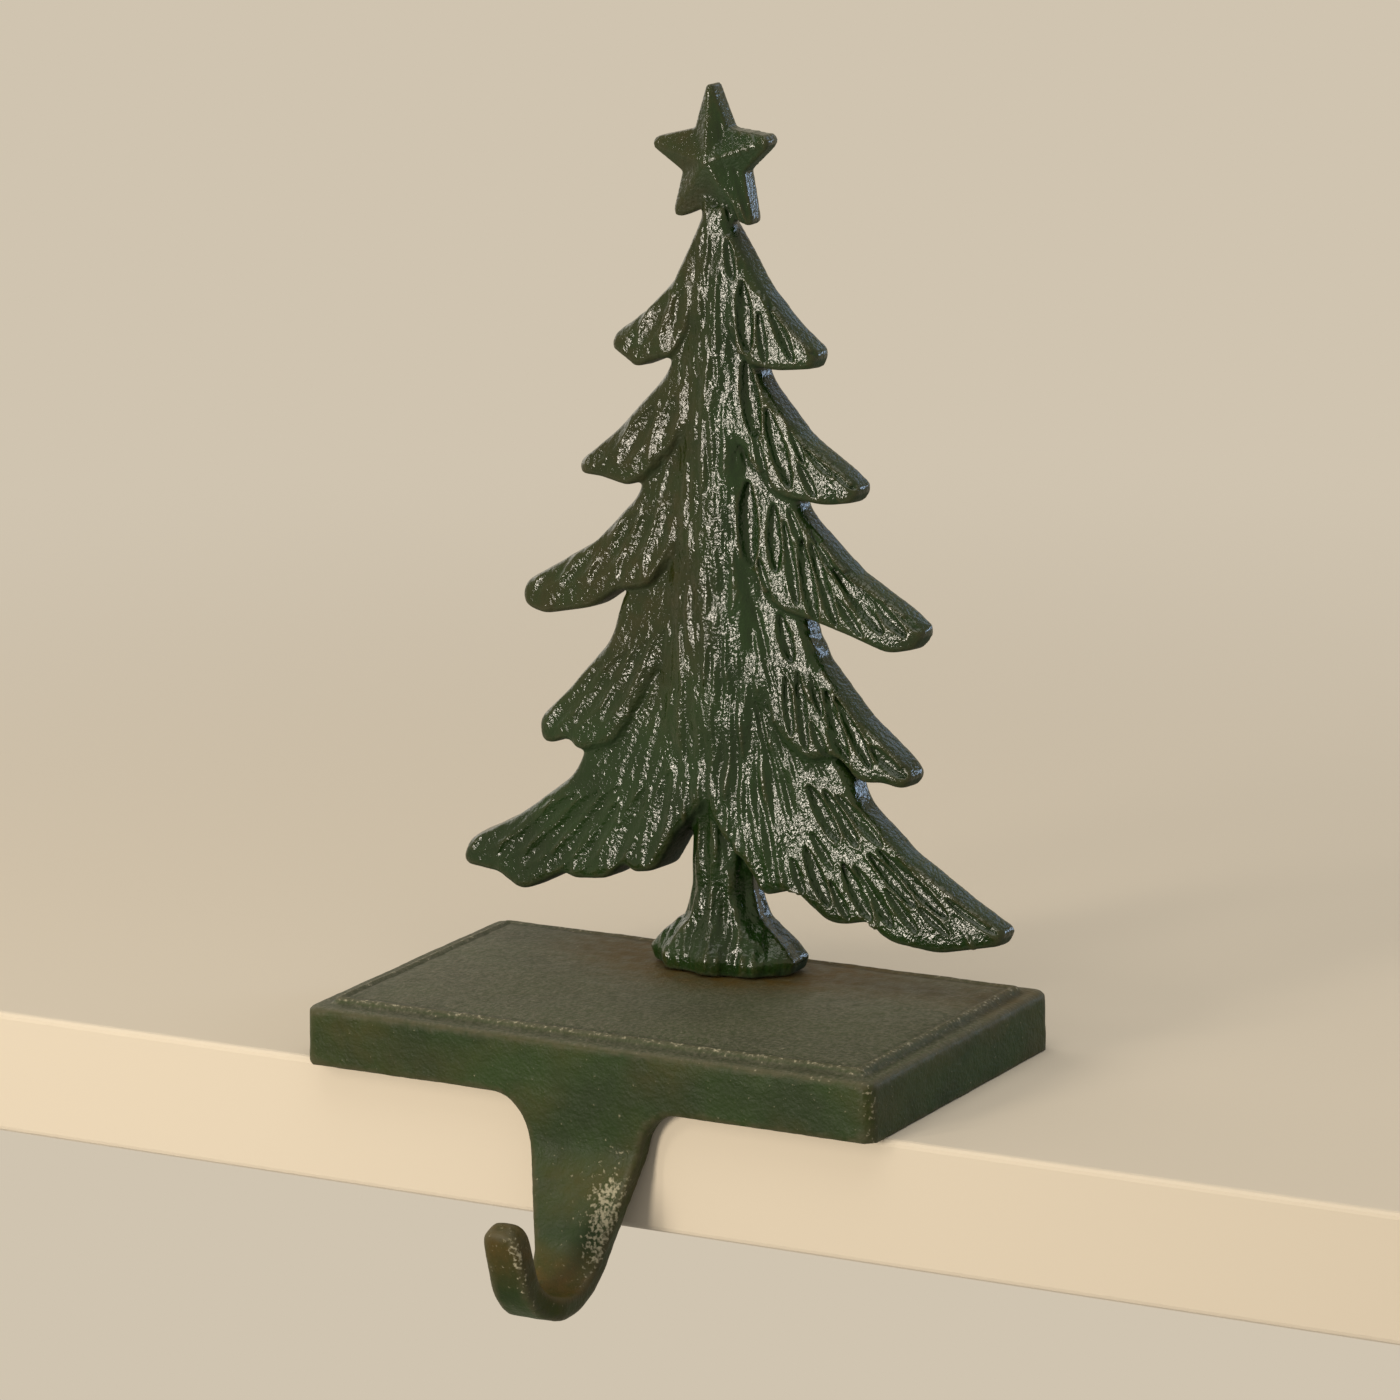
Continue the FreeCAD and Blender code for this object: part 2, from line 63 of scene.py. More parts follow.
# %% Camera
CAMERA_AIM = Vector((-0.0202, 0.0766, 0.0563))
CAMERA_DISTANCE = 1.30
CAMERA_AZIMUTH = math.radians(29.864)
CAMERA_ELEVATION = math.radians(13.102)
CAMERA_ROLL = math.radians(-1.149)
LENS_MM = 174.63
SENSOR_MM = 36.0


def add_camera():
    camera = bpy.data.objects.new("camera", bpy.data.cameras.new("camera"))
    bpy.context.scene.collection.objects.link(camera)
    camera.data.lens = LENS_MM
    camera.data.sensor_width = SENSOR_MM
    camera.data.clip_start = 0.05
    turn = Matrix.Rotation(CAMERA_AZIMUTH, 3, "Z") @ Matrix.Rotation(math.pi / 2 - CAMERA_ELEVATION, 3, "X")
    turn = turn @ Matrix.Rotation(CAMERA_ROLL, 3, "Z")
    camera.matrix_world = turn.to_4x4()
    camera.location = CAMERA_AIM + turn @ Vector((0, 0, CAMERA_DISTANCE))
    bpy.context.scene.camera = camera
    return camera


camera = add_camera()
bpy.context.scene.view_settings.view_transform = "Standard"
print("camera at", [round(v, 4) for v in camera.location])

# %% [markdown]
# ## Two small helpers for materials
# Paint charts and photographs give colours as sRGB hex values, but the shader works in linear light, so one
# function turns the one into the other. A second one adds a node with its settings and its links, which
# keeps each material short enough to read in one go.

# %% Colour and node helpers


def colour(code):
    """Linear colour from an sRGB hex value."""
    channels = [int(code[i:i + 2], 16) / 255 for i in (0, 2, 4)]
    return (*(c / 12.92 if c <= 0.04045 else ((c + 0.055) / 1.055) ** 2.4 for c in channels), 1.0)


def add_node(tree, kind, settings=(), links=()):
    """Adds a node. Settings are its own values or its sockets', and links name the sockets they go into."""
    node = tree.nodes.new(kind)
    for name, value in dict(settings).items():
        if isinstance(name, str) and name in node.bl_rna.properties:
            setattr(node, name, value)
        else:
            node.inputs[name].default_value = value
    for name, output in dict(links).items():
        tree.links.new(output, node.inputs[name])
    return node


def new_material(name):
    """An empty material with one principled shader, ready for its nodes."""
    material = bpy.data.materials.new(name)
    material.use_nodes = True
    shader = material.node_tree.nodes["Principled BSDF"]
    return material, material.node_tree, shader


print("mid grey in linear light:", [round(v, 3) for v in colour("808080")])

# %% [markdown]
# ## The mantel board
# The holder sits on a board and its strap hangs over the front edge, so the scene needs a board with its
# top at height zero and its front face at the strap's back. A cube is scaled to the board's size, moved
# there and its edges are bevelled.

# %% Board
BOARD_WIDTH = 5.0
BOARD_DEPTH = 3.0
BOARD_THICKNESS = 0.024
BOARD_EDGE = 0.0012
PALE = "d0c4b0"


def deselect_all():
    bpy.ops.object.select_all(action="DESELECT")


def make_board():
    deselect_all()
    bpy.ops.mesh.primitive_cube_add(size=1.0)
    board = bpy.context.object
    board.name = "mantel_board"
    bpy.ops.object.mode_set(mode="EDIT")
    bpy.ops.transform.resize(value=(BOARD_WIDTH, BOARD_DEPTH, BOARD_THICKNESS))
    bpy.ops.transform.translate(value=(0, BOARD_DEPTH / 2, -BOARD_THICKNESS / 2))
    bpy.ops.object.mode_set(mode="OBJECT")
    bevel = board.modifiers.new("edge", "BEVEL")
    bevel.width = BOARD_EDGE
    bevel.segments = 3
    bpy.ops.object.modifier_apply(modifier=bevel.name)
    return board


board = make_board()
print("board:", [round(v, 3) for v in board.dimensions])

# %% [markdown]
# ## Paint for the board
# The board is limewashed wood, shown plain and pale. Near the object it is ordinary matt paint that takes
# shadows. Further off it fades into the backdrop's colour, so that no edge of light or horizon shows.

# %% Limewash
FADE_FROM = 0.16
FADE_TO = 0.62

limewash, board_nodes, board_shader = new_material("limewashed_board")
board_shader.inputs["Base Color"].default_value = colour(PALE)
board_shader.inputs["Roughness"].default_value = 0.8
board_shader.inputs["Specular IOR Level"].default_value = 0.1
place = add_node(board_nodes, "ShaderNodeTexCoord").outputs["Object"]
distance = add_node(board_nodes, "ShaderNodeVectorMath", {"operation": "LENGTH"}, {0: place})
fade = add_node(board_nodes, "ShaderNodeMapRange", {"From Min": FADE_FROM, "From Max": FADE_TO,
                                                    "interpolation_type": "SMOOTHSTEP"},
                {"Value": distance.outputs["Value"]})
rays = add_node(board_nodes, "ShaderNodeLightPath")
bent = add_node(board_nodes, "ShaderNodeMath", {"operation": "MAXIMUM"},
                {0: rays.outputs["Is Glossy Ray"], 1: rays.outputs["Is Transmission Ray"]})
either = add_node(board_nodes, "ShaderNodeMath", {"operation": "MAXIMUM"},
                  {0: rays.outputs["Is Camera Ray"], 1: bent.outputs[0]})
faded = add_node(board_nodes, "ShaderNodeMath", {"operation": "MULTIPLY"},
                 {0: fade.outputs["Result"], 1: either.outputs[0]})
plain = add_node(board_nodes, "ShaderNodeEmission", {"Color": colour(PALE), "Strength": 1.0})
mixed = add_node(board_nodes, "ShaderNodeMixShader", (),
                 {0: faded.outputs[0], 1: board_shader.outputs[0], 2: plain.outputs[0]})
board_nodes.links.new(mixed.outputs[0], board_nodes.nodes["Material Output"].inputs["Surface"])
board.data.materials.append(limewash)
print("board fades from", FADE_FROM, "to", FADE_TO, "m")

# %% [markdown]
# ## Light
# Glossy paint shows its lamps, so their places matter more than their number. A soft box stands at the
# front left at the tree's own height, where the faces of the right-hand boughs mirror it towards the camera
# and those of the left-hand boughs don't. A narrow one above it glints on the leaning folds of the foot, and
# cool weak ones behind and to the right on the edges there. A wide one overhead lights the base's top and
# another the back. The world fills in and is the pale background.

# %% Lamps and world
LAMPS = {
    # name: (direction to the lamp, distance, width, height, power, colour)
    "front_box": ((-0.27, -0.96, 0.02), 1.0, 0.18, 0.31, 7.2, "fff4e4"),
    "rim_box": ((0.20, 0.84, 0.50), 1.1, 0.30, 0.22, 0.32, "a8ceff"),
    "side_box": ((0.66, 0.72, 0.14), 1.1, 0.26, 0.26, 2.5, "c0dcff"),
    "back_box": ((-0.88, 0.36, 0.40), 1.3, 1.0, 1.0, 3.4, "fffaf2"),
    "foot_box": ((-0.44, -0.76, 0.40), 1.0, 0.07, 0.30, 1.5, "fff4e4"),
    "top_box": ((0.10, -0.20, 0.97), 1.2, 1.1, 1.1, 8.2, "fffaf2"),
}
LAMP_AIM = Vector((0, 0.045, 0.08))
FILL_TINT = "fbf7f0"
FILL_STRENGTH = 0.36


def add_lamp(name, direction, distance, width, height, power, tint):
    lamp = bpy.data.objects.new(name, bpy.data.lights.new(name, "AREA"))
    lamp.data.shape = "RECTANGLE"
    lamp.data.size = width
    lamp.data.size_y = height
    lamp.data.energy = power
    lamp.data.color = colour(tint)[:3]
    away = Vector(direction).normalized()
    lamp.location = LAMP_AIM + away * distance
    lamp.rotation_euler = away.to_track_quat("Z", "Y").to_euler()
    lamp.visible_camera = False
    bpy.context.scene.collection.objects.link(lamp)


for lamp_name, values in LAMPS.items():
    add_lamp(lamp_name, *values)

world = bpy.data.worlds.new("studio")
bpy.context.scene.world = world
world.use_nodes = True
sky = world.node_tree
sky.nodes.clear()
path = add_node(sky, "ShaderNodeLightPath")
seen = add_node(sky, "ShaderNodeMath", {"operation": "MAXIMUM"},
                {0: path.outputs["Is Camera Ray"], 1: path.outputs["Is Transmission Ray"]})
shown = add_node(sky, "ShaderNodeMath", {"operation": "MAXIMUM"},
                 {0: seen.outputs[0], 1: path.outputs["Is Glossy Ray"]})
fill = add_node(sky, "ShaderNodeBackground", {"Color": colour(FILL_TINT), "Strength": FILL_STRENGTH})
backdrop = add_node(sky, "ShaderNodeBackground", {"Color": colour(PALE), "Strength": 1.0})
pick = add_node(sky, "ShaderNodeMixShader", (),
                {0: shown.outputs[0], 1: fill.outputs[0], 2: backdrop.outputs[0]})
add_node(sky, "ShaderNodeOutputWorld", (), {"Surface": pick.outputs[0]})
print("lamps:", len(LAMPS))

# %% [markdown]
# ## From a solid to a casting
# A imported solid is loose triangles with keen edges. Iron poured in sand has edges rounded by about half a
# millimetre and skin that is never quite flat. The copy of the solid is merged, turned into an even mesh
# of small squares by a voxel remesh and smoothed a little. Sculpting by hand would do the same, but a voxel
# remesh follows the solid exactly and is the same each time. The tree's squares are finer than the base's,
# because narrow leaves are carved into it below. Where three of the solid's boughs meet they leave a thin
# slit in the flat back, which the real casting doesn't have, so a small block inside the tree closes it.

# %% Copy, remesh and soften
TREE_VOXEL = 0.37 * MM
BASE_VOXEL = 0.56 * MM
TREE_SMOOTHING = 5
BASE_SMOOTHING = 3
MERGE_WITHIN = 0.001 * MM
# Lowest and highest corner of the block, in millimetres
SLIT_BLOCK = ((-13.0, 46.8, 69.5), (-1.0, 52.7, 80.0))


def casting_from(node_name, piece_name, voxel, smoothing, blocks=()):
    """A merged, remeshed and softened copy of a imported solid, joined with some blocks."""
    deselect_all()
    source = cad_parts[node_name]
    mesh = bpy.data.meshes.new(piece_name)
    shell = bmesh.new()
    shell.from_mesh(source.data)
    bmesh.ops.transform(shell, matrix=source.matrix_world, verts=shell.verts)
    bmesh.ops.remove_doubles(shell, verts=shell.verts, dist=MERGE_WITHIN)
    for low, high in blocks:
        low, high = Vector(low) * MM, Vector(high) * MM
        place = Matrix.Translation((low + high) / 2) @ Matrix.Diagonal((*(high - low), 1.0))
        bmesh.ops.create_cube(shell, size=1.0, matrix=place)
    shell.to_mesh(mesh)
    shell.free()
    piece = bpy.data.objects.new(piece_name, mesh)
    bpy.context.scene.collection.objects.link(piece)
    bpy.context.view_layer.objects.active = piece
    piece.select_set(True)
    remesh = piece.modifiers.new("voxels", "REMESH")
    remesh.mode = "VOXEL"
    remesh.voxel_size = voxel
    bpy.ops.object.modifier_apply(modifier=remesh.name)
    soften = piece.modifiers.new("soften", "SMOOTH")
    soften.factor = 0.5
    soften.iterations = smoothing
    bpy.ops.object.modifier_apply(modifier=soften.name)
    bpy.ops.object.shade_smooth()
    return piece


tree = casting_from("tree", "fir_tree", TREE_VOXEL, TREE_SMOOTHING, [SLIT_BLOCK])
base = casting_from("hook_base", "hook_and_base", BASE_VOXEL, BASE_SMOOTHING)
print("tree faces:", len(tree.data.polygons), "base faces:", len(base.data.polygons))

# %% [markdown]
# ## Reading and writing a mesh all at once
# The castings have over a hundred thousand points, too many for moves by hand. Their places go into
# one table, in millimetres, the whole table is worked on, and then it goes back into the mesh.

# %% Points as a table


def read_points(piece):
    """Places in millimetres, and outward directions, of all points of a piece."""
    count = len(piece.data.vertices)
    places = np.empty(count * 3)
    normals = np.empty(count * 3)
    piece.data.vertices.foreach_get("co", places)
    piece.data.vertices.foreach_get("normal", normals)
    return places.reshape(-1, 3) / MM, normals.reshape(-1, 3)


def write_points(piece, places, node_name):
    """Puts the points back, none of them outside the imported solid's box."""
    low, high = (np.array(corner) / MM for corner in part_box(node_name))
    kept = np.clip(places, low, high)
    piece.data.vertices.foreach_set("co", (kept * MM).ravel())
    piece.data.update()


def grain(places, size, seed):
    """Smooth noise from -1 to 1 whose bumps are as long as size says along each axis, in millimetres."""
    scaled = places / np.array(size) + seed
    return np.array([noise.noise(Vector(p)) for p in scaled])


def neighbour_average(piece, places, rounds):
    """Places after some rounds of averaging each point with its neighbours along the edges."""
    count = len(places)
    ends = np.empty(len(piece.data.edges) * 2, dtype=np.int64)
    piece.data.edges.foreach_get("vertices", ends)
    a, b = ends.reshape(-1, 2).T
    degree = np.bincount(a, minlength=count) + np.bincount(b, minlength=count)
    smooth = places.copy()
    for _ in range(rounds):
        for axis in range(3):
            value = smooth[:, axis]
            total = np.bincount(a, value[b], count) + np.bincount(b, value[a], count)
            smooth[:, axis] = 0.5 * value + 0.5 * total / np.maximum(degree, 1)
    return smooth


tree_places, tree_normals = read_points(tree)
print("tree points:", len(tree_places), "highest:", round(tree_places[:, 2].max(), 2), "mm")

# %% [markdown]
# ## Rounder rims on the boughs
# The star's edges are crisp, but the boughs' rims and tips and the folds of the foot are well rounded, as if
# the pattern had been sanded there. So everything below the star is averaged a few rounds more.

# %% Round the boughs
STAR_FOOT = 156.0
STAR_FADE = 3.0
ROUNDING_ROUNDS = 14

below_star = np.clip((STAR_FOOT - tree_places[:, 2]) / STAR_FADE, 0, 1)
rounded = neighbour_average(tree, tree_places, ROUNDING_ROUNDS)
tree_places = tree_places + (rounded - tree_places) * below_star[:, None]
write_points(tree, tree_places, "tree")
tree_places, tree_normals = read_points(tree)
print("tree points below the star:", int((below_star > 0.5).sum()))

# %% [markdown]
# ## Where the boughs' faces lie
# The tree is built in five tiers of boughs. Each tier's face leans forward towards its lower edge and falls
# back towards the tips, so how far forward it stands can be worked out for any place in the front view. A
# point of the mesh that lies close to that value belongs to the tier's face.

# %% Faces of the tiers
# Depth that the faces stand forward from, and how far a face falls back for each millimetre to the side
TREE_Y = 50.7
FACE_FALL = 0.11
# Each tier: the height where it starts, its lowest point, and how far its face stands forward at both
TIERS = {
    "crown": (161.0, 125.8, 3.0, 6.4),
    "second": (150.0, 102.9, 2.4, 7.2),
    "third": (128.0, 76.2, 2.6, 8.2),
    "fourth": (106.0, 50.8, 2.8, 8.8),
    "skirt": (82.0, 20.7, 4.2, 10.0),
}


def face_y(tier, x, z):
    """How far back the face of a tier lies, at a place in the front view."""
    top, low, top_relief, low_relief = TIERS[tier]
    relief = top_relief + (low_relief - top_relief) * (top - z) / (top - low)
    return TREE_Y - relief + FACE_FALL * np.abs(x)


def along_and_across(x, z, start, end):
    """Places along a cut, from 0 at its start to 1 at its end, and distances from its middle line."""
    direction = np.array(end) - np.array(start)
    length = float(np.hypot(*direction))
    direction = direction / length
    along = ((x - start[0]) * direction[0] + (z - start[1]) * direction[1]) / length
    across = np.abs((z - start[1]) * direction[0] - (x - start[0]) * direction[1])
    return along, across, length


def past_ends(along, length):
    """How far a place lies past either end of a cut."""
    return np.maximum(np.maximum(-along, along - 1) * length, 0)


print("tiers:", ", ".join(TIERS))

# %% [markdown]
# ## The plain cuts of the solid
# The solid has a fan of plain V cuts on each bough, cut from the stem towards the lower edge. On the left
# they are shallow and stay. On the right the carver used a wider, leaf-shaped gouge, so there the V cuts are
# filled level first and the leaves are cut afterwards.

# %% Find the V cuts and fill the right-hand ones
# Each fan: its tier, pivot, first and last point along the lower edge, and the spacing of its cuts
LEFT_FANS = (
    ("crown", (-1.0, 152.0), (-8.6, 129.6), (-19.6, 131.6), 7.0),
    ("second", (-2.0, 133.0), (-11.6, 108.2), (-26.6, 106.8), 7.0),
    ("third", (-3.0, 116.0), (-13.4, 87.2), (-39.6, 81.2), 7.0),
    ("fourth", (-3.0, 92.0), (-17.4, 59.6), (-36.6, 55.2), 7.0),
    ("skirt", (-4.0, 66.0), (-14.0, 31.6), (-30.6, 28.4), 7.0),
    ("skirt", (-6.0, 62.0), (-37.0, 27.2), (-55.0, 29.4), 7.0),
)
RIGHT_FANS = (
    ("crown", (4.0, 153.0), (8.6, 130.4), (20.8, 130.6), 5.4),
    ("second", (4.0, 135.0), (11.6, 108.6), (29.0, 106.4), 5.4),
    ("third", (5.0, 115.0), (13.2, 86.2), (41.2, 80.4), 5.4),
    ("fourth", (5.0, 92.0), (15.0, 61.8), (39.2, 54.2), 5.4),
    ("skirt", (6.0, 66.0), (13.4, 30.6), (30.0, 26.4), 5.4),
    ("skirt", (12.0, 62.0), (35.4, 24.8), (56.6, 25.4), 5.4),
)
# Where a cut starts and ends between the pivot, 0, and the lower edge, 1. The outer cuts start further out
NEAR, NEAR_OUTER, FAR = 0.46, 0.62, 0.97
# A point is inside a V cut within these shares of its length, this far from its middle and this deep
CUT_SHARES = (-0.06, 1.03)
CUT_HALF_WIDTH = 1.6
CUT_DEPTHS = (-0.3, 1.3)


def fan_cuts(fans):
    """Tier, start and end of every cut."""
    cuts = []
    for tier, pivot, first, last, pitch in fans:
        pivot, first, last = (np.array(p) for p in (pivot, first, last))
        gaps = max(1, round(float(np.linalg.norm(last - first)) / pitch))
        for i in range(gaps + 1):
            tip = first + (last - first) * i / gaps
            near = NEAR + (NEAR_OUTER - NEAR) * i / gaps
            cuts.append((tier, pivot + (tip - pivot) * near, pivot + (tip - pivot) * FAR))
    return cuts


def fill_cuts(places, normals, cuts):
    """Brings the sides of the V cuts forward to the bough's face."""
    x, y, z = places.T
    filled = places.copy()
    for tier, start, end in cuts:
        along, across, _ = along_and_across(x, z, start, end)
        sunk = y - face_y(tier, x, z)
        in_cut = (along > CUT_SHARES[0]) & (along < CUT_SHARES[1]) & (across < CUT_HALF_WIDTH)
        in_cut &= (sunk > CUT_DEPTHS[0]) & (sunk < CUT_DEPTHS[1]) & (normals[:, 1] < -0.4)
        filled[in_cut, 1] -= sunk[in_cut]
    return filled


left_cuts, right_cuts = fan_cuts(LEFT_FANS), fan_cuts(RIGHT_FANS)
tree_places = fill_cuts(tree_places, tree_normals, right_cuts)
print("cuts on the left:", len(left_cuts), "filled on the right:", len(right_cuts))

# %% [markdown]
# ## Leaves cut into the right-hand boughs
# Each leaf is a hollow with a pointed start and a rounded end, wider hollows being deeper, and the gouge
# throws up a small rim round it. A leaf is given by its ends in the front view and its half width. The points
# of the bough's face are pushed in or out by their distance from the leaf's middle line.

# %% Leaves
# For each tier: start and end of each leaf in the front view, and half its width, in millimetres
LEAVES = {
    "crown": (
        (4.6, 149.4, 5.4, 145.2, 0.9), (7.6, 142.0, 8.8, 131.8, 1.5), (11.2, 136.7, 12.3, 130.1, 0.8),
        (12.9, 141.0, 17.4, 130.8, 1.1), (19.2, 136.4, 21.8, 131.6, 0.9),
    ),
    "second": (
        (8.0, 127.4, 10.2, 116.0, 1.7), (10.3, 115.0, 12.8, 106.8, 0.7), (12.7, 119.0, 17.0, 107.4, 1.5),
        (13.5, 124.0, 16.0, 119.6, 0.8), (17.0, 118.5, 19.5, 112.0, 0.8), (20.4, 114.3, 24.8, 109.8, 1.0),
        (19.8, 109.5, 22.0, 105.8, 0.8), (24.6, 111.2, 29.4, 107.4, 0.8),
    ),
    "third": (
        (8.0, 104.8, 8.9, 91.6, 1.8), (13.3, 101.0, 14.2, 91.5, 1.4), (15.8, 98.0, 18.4, 85.6, 1.0),
        (11.2, 91.0, 12.7, 85.6, 0.8), (17.0, 100.5, 19.2, 96.0, 0.7), (19.2, 95.0, 22.2, 82.4, 1.3),
        (21.5, 94.5, 26.2, 82.0, 1.1), (21.4, 97.6, 25.2, 91.8, 0.8), (26.8, 90.6, 35.0, 81.2, 1.4),
        (29.4, 90.2, 39.4, 81.0, 1.3), (27.4, 85.0, 31.0, 80.4, 0.8), (37.4, 85.4, 42.6, 81.8, 0.8),
    ),
    "fourth": (
        (14.6, 80.5, 16.6, 74.5, 1.3), (16.0, 69.0, 17.2, 61.0, 0.9), (18.4, 70.0, 20.2, 58.6, 1.0),
        (21.4, 69.6, 23.0, 65.0, 0.8), (22.0, 61.0, 24.0, 57.0, 0.8), (24.4, 67.0, 28.2, 56.4, 1.3),
        (26.8, 66.4, 32.8, 56.0, 1.2), (25.4, 60.0, 28.4, 54.8, 0.8), (34.4, 58.0, 39.4, 54.4, 1.4),
    ),
    "skirt": (
        (21.2, 49.0, 26.0, 41.4, 1.4), (24.4, 48.4, 29.8, 40.8, 1.2), (27.2, 47.8, 34.4, 41.2, 1.1),
        (18.0, 35.0, 19.6, 31.0, 0.8), (20.6, 37.4, 24.6, 29.2, 1.3), (22.0, 40.4, 25.0, 36.0, 0.8),
        (26.0, 31.6, 28.6, 26.8, 0.8), (28.4, 35.0, 33.0, 27.0, 1.4), (31.0, 34.6, 37.0, 26.4, 1.3),
        (34.0, 37.4, 41.4, 30.4, 1.1), (35.8, 38.4, 47.6, 28.8, 1.2), (37.4, 31.0, 42.0, 25.6, 0.9),
        (44.0, 28.6, 48.0, 25.6, 0.7), (49.6, 30.8, 57.2, 26.4, 0.8),
    ),
}
# Depth as a share of the half width, the rim's height, and how far leaves reach past their table
LEAF_DEPTH = 0.6
LEAF_RIM = 0.10
LEAF_LONGER = 1.8
LEAF_WIDER = 1.12
# Half width, depth and rim of the shallow grooves along the left-hand cuts
GROOVE = (1.9, 0.14, 0.14)
# The gouge works on a face within this distance of the tier, and may cut in or throw up this much in all
FACE_REACH = 1.9
DEEPEST_CUT = 1.3
HIGHEST_RIM = 0.4
# Streaks stay off the leaves and off this much of their surroundings
LEAF_SURROUNDINGS = 2.6


def stretch(x0, z0, x1, z1, more):
    """Ends of a leaf made longer by a length at its start and half that at its end."""
    length = math.hypot(x1 - x0, z1 - z0)
    step_x, step_z = (x1 - x0) / length * more, (z1 - z0) / length * more
    return (x0 - step_x, z0 - step_z), (x1 + step_x / 2, z1 + step_z / 2)


def gouge_move(places, normals, tier, start, end, half_width, depth, rim):
    """Outward move of each point for one cut: a hollow with a rim round it."""
    x, y, z = places.T
    along, across, length = along_and_across(x, z, start, end)
    on_face = np.clip((FACE_REACH - np.abs(y - face_y(tier, x, z))) / 0.5, 0, 1)
    facing = np.clip((-normals[:, 1] - 0.3) / 0.4, 0, 1)
    leaf = half_width * np.sin(np.pi * np.clip(along, 0.02, 0.985) ** 1.15) ** 0.42
    hollow = depth * np.clip(1.15 - 1.15 * (across / leaf) ** 2, 0, 1) * (along > 0) * (along < 1)
    ridge = rim * np.exp(-((np.hypot(across, past_ends(along, length)) - leaf - 0.3) / 0.4) ** 2)
    near = (along > -0.2) & (along < 1.2) & (across < 4)
    return np.where(near, (ridge - hollow) * on_face * facing, 0)


carved = np.zeros(len(tree_places))
leafy = np.zeros(len(tree_places))
for tier, leaves in LEAVES.items():
    for x0, z0, x1, z1, half_width in leaves:
        start, end = stretch(x0, z0, x1, z1, LEAF_LONGER)
        half_width *= LEAF_WIDER
        depth = LEAF_DEPTH * half_width
        carved += gouge_move(tree_places, tree_normals, tier, start, end, half_width, depth, LEAF_RIM)
        along, across, length = along_and_across(tree_places[:, 0], tree_places[:, 2], start, end)
        away = np.hypot(across, past_ends(along, length)) / LEAF_SURROUNDINGS
        leafy = np.maximum(leafy, np.clip(1.8 - away, 0, 1))
for tier, start, end in left_cuts:
    carved += gouge_move(tree_places, tree_normals, tier, start, end, *GROOVE)
carved = np.clip(carved, -DEEPEST_CUT, HIGHEST_RIM)
print("leaves:", sum(len(leaves) for leaves in LEAVES.values()), "deepest:", round(-carved.min(), 2), "mm")

# %% [markdown]
# ## The stem between the boughs
# The solid's stem is fluted all the way up. On the real tree only the trunk and the foot keep clear folds,
# and higher up the stem melts into the boughs on both sides. So above the trunk its points are averaged with
# their neighbours many times, most in the middle and not at all on the boughs.

# %% Melt the stem into the boughs
# Heights, and how far the stem reaches to each side there
STEM_REACH = ((12.7, 17.0), (30.0, 9.0), (60.0, 12.0), (110.0, 8.0), (150.0, 5.0), (157.0, 3.0))
STEM_FADE = 4.0
MELT_FROM = 40.0
MELT_TO = 155.0
MELT_ROUNDS = 70


def stem_share(x, z):
    """1 on the stem, 0 on the boughs."""
    heights, reach = zip(*STEM_REACH)
    return np.clip((np.interp(z, heights, reach) - np.abs(x)) / STEM_FADE, 0, 1)


x, y, z = tree_places.T
melted = stem_share(x, z) * np.clip((z - MELT_FROM) / 10, 0, 1) * np.clip((MELT_TO - z) / 3, 0, 1)
melted *= tree_normals[:, 1] < 0.3
averaged = neighbour_average(tree, tree_places, MELT_ROUNDS)
tree_places = tree_places + (averaged - tree_places) * melted[:, None]
print("points melted:", int((melted > 0.5).sum()))

# %% [markdown]
# ## Bark and needles
# Between the cuts the carved pattern has long fine streaks: on the boughs they fan out from the stem, and on
# the trunk and stem they run upright like bark. Streaks are noise that is long in one direction, so the
# places are squeezed along the streaks before the noise is looked up. The star is nearly smooth.

# %% Streaks and uneven skin
STREAK_HEIGHT_LEFT = 0.20
STREAK_HEIGHT_RIGHT = 1.05
LEAFY_CALM = 0.92
BARK_HEIGHT = 0.52
TRUNK_BARK_HEIGHT = 0.60
TRUNK_TOP = 42.0
FINE_BARK_HEIGHT = 0.26
LUMP_HEIGHT = 0.12
STAR_CALM = 0.75
# Width, depth and length of one streak, one ridge of bark, one fine ridge and one lump
STREAK_SIZE = (1.35, 1.0, 11.0)
BARK_SIZE = (1.7, 2.2, 9.0)
FINE_BARK_SIZE = (0.9, 1.2, 5.0)
LUMP_SIZE = (4.0, 4.0, 4.0)
# The streaks of a tier meet this far above its top, and are as wide as stated this far below that point
FAN_RISE = 22.0
FAN_DROP = 46.0
# How far apart in the noise the tiers are looked up, so that no two have the same streaks
TIER_SHIFT = 9.0


